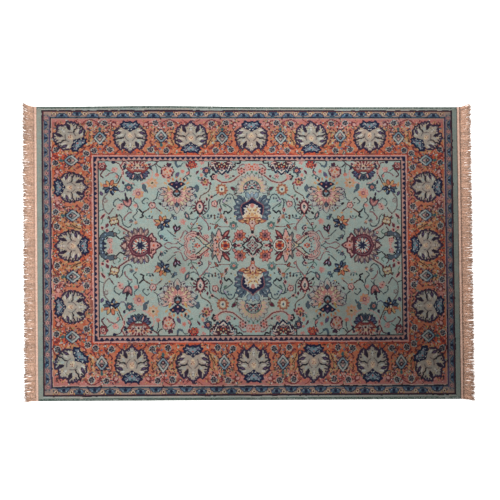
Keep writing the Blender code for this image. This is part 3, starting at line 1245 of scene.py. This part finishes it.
def tuft_colours():
    """The colour of each tuft of the rug, in linear light, with painted shade towards the right end and in
    patches.
    """
    shape = (STRIPS * STRIP_ROWS, KNOT_COLUMNS)
    x = ((np.arange(shape[1]) + 0.5) / shape[1] - 0.5) * RUG_LENGTH * 1000
    y = ((np.arange(shape[0]) + 0.5) / shape[0] - 0.5) * CARPET_WIDTH * 1000
    # Painted shade: the yarns' tone is darkened towards the right end, where the light falls off.
    tone_and_painted_shade = YARN_TONE * (1 - RIGHT_END_PAINTED_SHADE * (x[None, :] / 1000 - RIGHT_END_PAINTED_SHADE_START).clip(0, 1))
    # Painted shade: the tone darkens in soft patches where ripples and dents lie in shade.
    for row in PAINTED_SHADE_PATCHES:
        patch = dict(zip(PAINTED_SHADE_PATCHES_COLUMNS, row))
        away_x = (x[None, :] / 1000 - patch["x"]) / patch["half_length"]
        away_y = (y[:, None] / 1000 - patch["y"]) / patch["half_width"]
        tone_and_painted_shade = tone_and_painted_shade * (1 - patch["shade"] * np.exp(-(away_x**2) - away_y**2))
    x = chart_place(x, CHART_LENGTH_MM, OFF_MIDDLE_X_MM)
    y = chart_place(y, CHART_WIDTH_MM, OFF_MIDDLE_Y_MM)
    x, y = np.meshgrid(x, y)
    for tufts in WANDER_TUFTS:
        x = x + WANDER_MM * clouds(shape, tufts)
    for tufts in WANDER_TUFTS:
        y = y + WANDER_MM * clouds(shape, tufts)
    x, y = np.abs(x), np.abs(y)
    column = (x / CELL_MM).astype(int).clip(0, chart.shape[1] - 1)
    row = (y / CELL_MM).astype(int).clip(0, chart.shape[0] - 1)
    yarn = chart[row, column]
    palette = np.array([linear(colour) for colour in YARNS.values()])
    palette = MID_TONE * (palette / MID_TONE) ** CONTRAST
    colours = palette[yarn]
    lots = np.array([linear(colour) for _, colour in CORAL_LOTS_MM])
    starts = [start for start, _ in CORAL_LOTS_MM]
    ground_here = yarn == YARN_NUMBERS["coral"]
    for channel in range(3):
        lot = np.interp(y, starts, lots[:, channel])
        colours[..., channel] = np.where(ground_here, lot, colours[..., channel])
    colours = colours + (np.array(linear(WASH_GREY)) - colours) * WASH
    shade = 1 + TUFT_SHADE * random.standard_normal(shape)
    for tufts in CLOUD_TUFTS:
        shade = shade + CLOUD_SHADE / 2 * clouds(shape, tufts)
    shade = (tone_and_painted_shade * shade).clip(*SHADE_RANGE)
    warm = HUE_SHADE * sum(clouds(shape, tufts) for tufts in HUE_TUFTS)
    return colours * shade[..., None] * (1 + warm[..., None] * np.array(WARM))


TUFT_UNEVEN = 0.00028
TUFT_LEAN = 0.0004
EDGE_ROUNDING = 0.0018  # how much lower the pile is at its edges


def stepped_in(length, count):
    """Places along one side of the pile, with one more at each end for its cut wall."""
    inner = np.linspace(-length / 2, length / 2, count + 1)
    return np.concatenate([inner[:1], inner, inner[-1:]])


def edge_heights(count):
    """The height of the pile along one side: down to the ground at its walls, worn round at its edges."""
    heights = np.full(count + 3, PILE_HEIGHT)
    heights[[1, -2]] = PILE_HEIGHT - EDGE_ROUNDING
    heights[[0, -1]] = GROUND_THICKNESS
    return heights


# Heat-set synthetic wool, cut: matt, with a soft sheen from its fibres and a grain of tuft ends.
TUFT_END_MM = 1.11  # a real fibre is about 0.05 mm thick, too fine to show


def cut_pile_yarn():
    material, tree, shader = new_material("cut heat-set pile yarn", Roughness=0.95, Sheen_Weight=0.1)
    shader.inputs["Sheen Roughness"].default_value = 0.5
    shader.inputs["Specular IOR Level"].default_value = 0.1
    place = add(tree, "TexCoord").outputs["Object"]
    colour = add(tree, "Attribute", attribute_name="yarn").outputs["Color"]
    ends = add(tree, "TexNoise", {"Vector": place, "Scale": 1000 / TUFT_END_MM, "Detail": 3.0})
    shades = {"Value": ends.outputs["Fac"], "From Min": 0.3, "From Max": 0.7, "To Min": 0.82, "To Max": 1.14}
    shade = add(tree, "MapRange", shades).outputs[0]
    tinted = add(tree, "VectorMath", {0: colour, "Scale": shade}, operation="SCALE").outputs["Vector"]
    tree.links.new(tinted, shader.inputs["Base Color"])
    tufts = add(tree, "TexVoronoi", {"Vector": place, "Scale": 1000 / KNOT_MM, "Randomness": 0.6})
    height = tufts.outputs["Distance"]
    bump = add(tree, "Bump", {"Height": height, "Strength": 0.5, "Distance": 0.0012}, invert=True)
    tree.links.new(bump.outputs["Normal"], shader.inputs["Normal"])
    return material


def pile_strips():
    """The pile as strips side by side along the rug, of a face for each tuft."""
    colours = tuft_colours()
    all_x = stepped_in(RUG_LENGTH, KNOT_COLUMNS)
    all_y = stepped_in(CARPET_WIDTH, STRIPS * STRIP_ROWS)
    height = np.minimum(edge_heights(KNOT_COLUMNS)[None, :], edge_heights(STRIPS * STRIP_ROWS)[:, None])
    x, y = np.meshgrid(all_x, all_y)
    on_top = height > PILE_HEIGHT - EDGE_ROUNDING / 2
    height = height + on_top * TUFT_UNEVEN * random.standard_normal(x.shape)
    x = x + on_top * TUFT_LEAN * random.uniform(-1, 1, x.shape)
    y = y + on_top * TUFT_LEAN * random.uniform(-1, 1, x.shape)
    points = laid(x, y, height)
    colours = np.pad(colours, ((1, 1), (1, 1), (0, 0)), mode="edge")
    material = cut_pile_yarn()
    strips = []
    for number in range(STRIPS):
        first = 0 if number == 0 else number * STRIP_ROWS + 1
        last = (number + 1) * STRIP_ROWS + (2 if number == STRIPS - 1 else 1)
        part = points[first : last + 1]
        strip = new_piece(f"pile_strip_{number + 1}", part, grid_faces(*part.shape[:2]))
        rows, columns = part.shape[:2]
        corners = np.empty(len(strip.data.loops), np.int32)
        strip.data.loops.foreach_get("vertex_index", corners)
        places = np.stack([corners % columns / (columns - 1), corners // columns / (rows - 1)], axis=-1)
        strip.data.uv_layers.new(name="OFBake").data.foreach_set("uv", places.ravel().astype(np.float32))
        yarn = strip.data.attributes.new("yarn", "FLOAT_COLOR", "FACE")
        shown = np.ones((last - first, part.shape[1] - 1, 4), np.float32)
        shown[..., :3] = colours[first:last]
        yarn.data.foreach_set("color", shown.ravel())
        strip.data.materials.append(material)
        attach(strip, "root")
        strips.append(strip)
    return strips


pile = pile_strips()
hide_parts("carpet")


# --------------------------------------------------------------------------------------------------------
# The side bindings. Each long side is overcast: thick dark green yarn is wound round its edge by machine,
# turn beside turn, over a cord.

WRAP_PITCH = 0.0044
WRAP_DEPTH = 0.00045
WRAP_STEPS = 4
WRAP_SIDES = 8
WRAP_SLANT = 0.35  # as a share of its pitch
WRAP_UNEVEN = 0.00018
CORD_END = 0.55  # how thick the cord's cut ends are, as a share of the rest
FLOOR_GAP = 0.0002  # the lowest that the yarn reaches


# Loosely spun yarn of the pile's kind: matt, with a fine grain along each turn.
OVERCAST_GREEN = "#56665d"
OVERCAST_SHADE = "#36453f"
STRAND_MM = 0.625  # a real fibre is about 0.05 mm thick, too fine to show
STRAND_LENGTH_MM = 3.85
LOT_MM = 111.0


def overcast_yarn():
    material, tree, shader = new_material("overcast yarn", Roughness=0.9, Sheen_Weight=0.2)
    shader.inputs["Sheen Roughness"].default_value = 0.5
    shader.inputs["Specular IOR Level"].default_value = 0.2
    place = add(tree, "TexCoord").outputs["Object"]
    across, along = 1000 / STRAND_MM, 1000 / STRAND_LENGTH_MM
    stretched = add(tree, "Mapping", {"Vector": place, "Scale": (across, along, along)}).outputs["Vector"]
    fibre = add(tree, "TexNoise", {"Vector": stretched, "Scale": 1.0, "Detail": 3.0}).outputs["Fac"]
    lots = add(tree, "TexNoise", {"Vector": place, "Scale": 1000 / LOT_MM, "Detail": 2.0}).outputs["Fac"]
    mixed = add(tree, "Math", {0: fibre, 1: lots}, operation="ADD").outputs[0]
    halved = add(tree, "Math", {0: mixed, 1: 0.5}, operation="MULTIPLY").outputs[0]
    ramp = add(tree, "ValToRGB", {"Fac": halved}, ((0.35, OVERCAST_SHADE), (0.6, OVERCAST_GREEN)))
    tree.links.new(ramp.outputs["Color"], shader.inputs["Base Color"])
    bump = add(tree, "Bump", {"Height": fibre, "Strength": 0.5, "Distance": 0.0004})
    tree.links.new(bump.outputs["Normal"], shader.inputs["Normal"])
    return material


def overcast_binding(name, side, material):
    """A cord along one side, with a ridge for each turn of yarn; side is 1 at +Y and -1 at -Y."""
    turns = round(RUG_LENGTH / WRAP_PITCH)
    rings = turns * WRAP_STEPS + 1
    x = np.linspace(-RUG_LENGTH / 2, RUG_LENGTH / 2, rings)[:, None]
    angle = (np.arange(WRAP_SIDES) / WRAP_SIDES * math.tau)[None, :]
    turn = x / WRAP_PITCH + WRAP_SLANT * np.sin(angle)
    uneven = random.standard_normal((rings // WRAP_STEPS + 2, 1)).repeat(WRAP_STEPS, axis=0)[:rings]
    radius = BINDING_DIAMETER / 2 + WRAP_UNEVEN * uneven - WRAP_DEPTH * (1 - np.abs(np.sin(math.pi * turn)))
    radius[[0, -1]] *= CORD_END
    y = side * (RUG_WIDTH - BINDING_DIAMETER) / 2 + radius * np.cos(angle)
    height = np.maximum(BINDING_DIAMETER / 2 + radius * np.sin(angle), FLOOR_GAP)
    points = laid(x + 0 * y, y, height)
    faces = [tuple(face) for face in grid_faces(rings, WRAP_SIDES, closed=True)]
    faces.append(tuple(range(WRAP_SIDES))[::-1])
    faces.append(tuple(range((rings - 1) * WRAP_SIDES, rings * WRAP_SIDES)))
    piece = new_piece(name, points, faces)
    piece.data.materials.append(material)
    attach(piece, "root")
    return piece


overcast = overcast_yarn()
back_binding = overcast_binding("overcast_back", 1, overcast)
front_binding = overcast_binding("overcast_front", -1, overcast)
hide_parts("binding_back")
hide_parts("binding_front")


# --------------------------------------------------------------------------------------------------------
# The fringes. Each is bought by the metre: a woven cotton heading with twisted ends, sewn to the rug's short
# end with a zigzag. The heading lies against the carpet's end, and its yarns lie on the floor as they fell.

HEADING_WIDTH = 0.018
HEADING_SHOWN = 0.0125  # how far out the yarns come from under it
HEADING_THICKNESS = 0.0026
HEADING_PROFILE = (  # out from the carpet and up, as shares of its width and thickness
    (0.02, 0.0), (0.02, 0.8), (0.18, 1.0), (0.34, 0.9), (0.5, 1.0),
    (0.66, 0.9), (0.82, 1.0), (0.94, 0.9), (1.0, 0.55), (1.0, 0.0),
)
HEADING_ROUGH = 0.0004
HEADING_HEM = 0.002
RIB_DEPTH = 0.14  # as a share of its thickness
RIBS_A_LOCK = 4
LOCK_COUNT = 140
LOCK_LENGTH = 0.061
LOCK_LENGTH_SPREAD = 0.004
FLARE_BACK = 0.022  # how far the tips spread at each corner
FLARE_FRONT = 0.009
SWAYS = ((0.0035, 9.1, 0.7), (0.0018, 31, 2.1))  # how far, radians a metre, and how each end differs
YARNS_A_LOCK = 9
LAYERS = 3
YARN_DIAMETER = 0.0036
YARN_THICKNESSES = (0.85, 1.1)  # as shares of its diameter
YARN_HEIGHT = 0.85  # as a share of its breadth
LAYER_RISE = 0.45  # as a share of a yarn's diameter
YARN_THINNING = 0.2  # towards its tip
YARN_TIP = 0.45
YARN_REACHES = (0.9, 1.07)
YARN_CURLS = (0.0006, 0.0026)
CURL_HALF_TURNS = (1.4, 4.0)
CURL_STARTS = (0, 6)
YARN_SIDES = 4
YARN_STEPS = 6
LOCK_PITCH = RUG_WIDTH / LOCK_COUNT
LOCK_TONES = (0.86, 1.08)
YARN_TONES = (0.82, 1.1)
# Painted shade: the lowest layer of yarns is darkest and each layer over it lighter, for the shade the upper
# yarns cast.
LOWEST_LAYER_PAINTED_SHADE = 0.72
PAINTED_SHADE_LAYER_STEP = 0.14
TIP_DARKENING = 0.35  # how much darker a yarn is by its tip
TIP_TONE = 0.6
RIGHT_END_PAINTED_LIGHT = 1.3  # painted light: the right end's yarns are lighter, for light that the lamps don't bring there


def sway(y, end):
    """How far the tips lean towards +Y at a place along an end, as in the solids."""
    across = y / (RUG_WIDTH / 2)
    waves = sum(reach * np.sin(pace * y + start * end) for reach, pace, start in SWAYS)
    flare = np.where(y > 0, FLARE_BACK, -FLARE_FRONT)
    return waves * (1 - across**2) + flare * across**4


def fringe_yarn(own_root, reach, lean, end, layer):
    """One twisted yarn as rings of points, from under the heading to its tip."""
    share = np.linspace(0, 1, YARN_STEPS + 1)
    own_reach = reach * random.uniform(*YARN_REACHES)
    curl = random.uniform(*YARN_CURLS)
    turns = share * math.pi * random.uniform(*CURL_HALF_TURNS)
    curl = curl * np.sin(turns + random.uniform(*CURL_STARTS))
    drift = random.uniform(-0.5, 0.5) * LOCK_PITCH * share
    middle = own_root + lean * share**1.5 + drift + curl * share**0.6
    out = HEADING_SHOWN + (HEADING_WIDTH - HEADING_SHOWN + own_reach) * share
    thick = YARN_DIAMETER / 2 * random.uniform(*YARN_THICKNESSES) * (1 - YARN_THINNING * share**2)
    thick[-1] *= YARN_TIP
    raised = HEADING_THICKNESS * np.clip(1 - 4 * share, 0, 1) + layer * YARN_DIAMETER * LAYER_RISE
    angle = np.arange(YARN_SIDES) / YARN_SIDES * math.tau
    y = middle[:, None] + thick[:, None] * np.cos(angle)
    z = thick[:, None] * (1 + YARN_HEIGHT * np.sin(angle)) + raised[:, None]
    points = laid(end * (RUG_LENGTH / 2 + out[:, None]) + 0 * y, y, z)
    points[..., 2] = z
    return points.reshape(-1, 3)


def fringe_yarns(name, end, material):
    """The yarns of one end, in locks of three layers, each with its own lean, length, curl and shade."""
    points = []
    faces = []
    tones = []
    tube = grid_faces(YARN_STEPS + 1, YARN_SIDES, closed=True)
    cap = np.arange(YARN_SIDES)
    caps = [cap, cap[::-1] + YARN_STEPS * YARN_SIDES]
    along = np.repeat(np.linspace(0, 1, YARN_STEPS), YARN_SIDES)
    for lock in range(LOCK_COUNT):
        root = LOCK_PITCH * (lock + 0.5) - RUG_WIDTH / 2
        reach = LOCK_LENGTH - LOCK_LENGTH_SPREAD * (lock * 5 % 6) / 5
        lock_tone = random.uniform(*LOCK_TONES) * (RIGHT_END_PAINTED_LIGHT if end > 0 else 1)
        for strand in range(YARNS_A_LOCK):
            layer = strand % LAYERS
            own_root = root + ((strand + 0.5) / YARNS_A_LOCK - 0.5) * LOCK_PITCH
            base = len(points) * (YARN_STEPS + 1) * YARN_SIDES
            points.append(fringe_yarn(own_root, reach, sway(root, end), end, layer))
            for face in (*tube, *caps):
                faces.append(face + base if end < 0 else face[::-1] + base)
            # Painted shade by layer; the lock tone also holds the painted light of the right end.
            tone = lock_tone * random.uniform(*YARN_TONES) * (LOWEST_LAYER_PAINTED_SHADE + PAINTED_SHADE_LAYER_STEP * layer)
            tones.append(np.append(tone * (1 - TIP_DARKENING * along**5), [tone, tone * TIP_TONE]))
    piece = new_piece(name, np.concatenate(points), faces)
    tone = piece.data.attributes.new("tone", "FLOAT_COLOR", "FACE")
    tone.data.foreach_set("color", np.repeat(np.concatenate(tones), 4).astype(np.float32))
    piece.data.materials.append(material)
    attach(piece, "root")
    return piece


# Two-ply cotton, unbleached: matt and warm, darker where the plies meet and at the tips. The yarns' tone
# also carries painted shade on their lower layers and painted light at the right end.
COTTON = "#e7c1a9"
COTTON_SHADE = "#b78b72"
HEADING_COTTON = "#e0bfad"
HEADING_SHADE = "#c89d8a"
COTTON_SLUB_MM = 7.14
PLY_MM = 1.96


def cotton_material(name, light, shade, toned):
    material, tree, shader = new_material(name, Roughness=0.88, Sheen_Weight=0.15)
    shader.inputs["Specular IOR Level"].default_value = 0.2
    place = add(tree, "TexCoord").outputs["Object"]
    slub = add(tree, "TexNoise", {"Vector": place, "Scale": 1000 / COTTON_SLUB_MM, "Detail": 4.0})
    stops = ((0.32, shade), (0.62, light))
    colour = add(tree, "ValToRGB", {"Fac": slub.outputs["Fac"]}, stops).outputs["Color"]
    if toned:
        tone = add(tree, "Attribute", attribute_name="tone").outputs["Color"]
        colour = add(tree, "VectorMath", {0: colour, 1: tone}, operation="MULTIPLY").outputs["Vector"]
    tree.links.new(colour, shader.inputs["Base Color"])
    plies = {"Vector": place, "Scale": 1000 / PLY_MM / WAVES_A_SCALE, "Distortion": 1.5}
    ply = add(tree, "TexWave", plies, bands_direction="DIAGONAL")
    bump = add(tree, "Bump", {"Height": ply.outputs["Fac"], "Strength": 0.6, "Distance": 0.0005})
    tree.links.new(bump.outputs["Normal"], shader.inputs["Normal"])
    return material


def fringe_heading(name, end, material):
    """The woven tape of one end: a slab with a rib for each warp, that comes to a soft edge."""
    rows = LOCK_COUNT * RIBS_A_LOCK + 1
    across, rise = (np.array(HEADING_PROFILE) * (HEADING_WIDTH, HEADING_THICKNESS)).T
    y = np.linspace(-RUG_WIDTH / 2, RUG_WIDTH / 2, rows)[:, None]
    rib = 1 - RIB_DEPTH * (np.arange(rows) % 2)[:, None]
    height = rise[None, :] * rib
    x = end * (RUG_LENGTH / 2 + across[None, :]) + 0 * y
    y = y + HEADING_ROUGH * random.standard_normal(x.shape) * (np.abs(y) < RUG_WIDTH / 2 - HEADING_HEM)
    points = laid(x, y, height)
    points[..., 2] = height
    columns = len(across)
    faces = list(grid_faces(rows, columns))
    for row in range(rows - 1):
        low = row * columns
        faces.append(np.array([low, low + columns, low + 2 * columns - 1, low + columns - 1]))
    faces.append(np.arange(columns))
    faces.append(np.arange(rows * columns - 1, (rows - 1) * columns - 1, -1))
    piece = new_piece(name, points, [face if end < 0 else face[::-1] for face in faces])
    piece.data.materials.append(material)
    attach(piece, "root")
    return piece


twisted = cotton_material("twisted unbleached cotton", COTTON, COTTON_SHADE, True)
tape = cotton_material("woven cotton tape", HEADING_COTTON, HEADING_SHADE, False)
fringe_pieces = []
for end, place in ((-1, "left"), (1, "right")):
    yarns = fringe_yarns(f"fringe_yarns_{place}", end, twisted)
    heading = fringe_heading(f"fringe_heading_{place}", end, tape)
    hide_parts(f"fringe_{place}")
    fringe_pieces += [yarns, heading]


# --------------------------------------------------------------------------------------------------------
# The floor, the light and the camera. The floor is a plain pale studio sweep, and the light comes softly
# from the upper left.

FLOOR_SIZE = 80.0
FLOOR_DROP = 0.0001


# Matt emulsion paint, rolled: even and pale, with the faintest stipple. It glows a little, to lose shadows.
FLOOR_PAINT = "#f6f5f3"
STIPPLE_SHADE = 0.97
STIPPLE_MM = 11.1


def matt_floor_paint():
    material, tree, shader = new_material("matt floor paint", Roughness=0.8, Emission_Strength=0.9)
    shader.inputs["Emission Color"].default_value = (1, 1, 1, 1)
    place = add(tree, "TexCoord").outputs["Object"]
    stipple = add(tree, "TexNoise", {"Vector": place, "Scale": 1000 / STIPPLE_MM, "Detail": 2.0})
    ramp = add(tree, "ValToRGB", {"Fac": stipple.outputs["Fac"]})
    ramp.color_ramp.elements[0].color = (*(STIPPLE_SHADE * part for part in linear(FLOOR_PAINT)), 1)
    ramp.color_ramp.elements[1].color = (*linear(FLOOR_PAINT), 1)
    tree.links.new(ramp.outputs["Color"], shader.inputs["Base Color"])
    return material


bpy.ops.mesh.primitive_plane_add(size=FLOOR_SIZE, location=(0, 0, -FLOOR_DROP))
floor = bpy.context.object
floor.name = "studio_floor"
floor.data.materials.append(matt_floor_paint())

AIR_GLOW = 0.05
LAMP_COLUMNS = ("name", "x", "y", "z", "size", "watts")
LAMPS = (
    ("left_softbox", -1.35, 0.12, 3.0, 1.1, 113),
    ("back_softbox", 0.5, 1.0, 1.2, 0.6, 13.5),
)
for row in LAMPS:
    lamp = dict(zip(LAMP_COLUMNS, row))
    light = bpy.data.lights.new(lamp["name"], "AREA")
    light.size = lamp["size"]
    light.energy = lamp["watts"]
    holder = bpy.data.objects.new(lamp["name"], light)
    holder.location = (lamp["x"], lamp["y"], lamp["z"])
    holder.visible_camera = False
    bpy.context.scene.collection.objects.link(holder)

world = bpy.data.worlds.new("studio air")
world.use_nodes = True
world.node_tree.nodes["Background"].inputs["Color"].default_value = (1, 1, 1, 1)
world.node_tree.nodes["Background"].inputs["Strength"].default_value = AIR_GLOW
bpy.context.scene.world = world

CAMERA_LENS = 85.0
CAMERA_SENSOR = 36.0
CAMERA_PLACE = (-0.1472, -0.1250, 6.442)
CAMERA_TURN_DEG = (1.272, -1.352, -0.389)
bpy.context.scene.view_settings.view_transform = "Standard"
camera_data = bpy.data.cameras.new("camera")
camera_data.lens = CAMERA_LENS
camera_data.sensor_width = CAMERA_SENSOR
camera = bpy.data.objects.new("camera", camera_data)
camera.location = CAMERA_PLACE
camera.rotation_euler = [math.radians(turn) for turn in CAMERA_TURN_DEG]
bpy.context.scene.collection.objects.link(camera)
bpy.context.scene.camera = camera
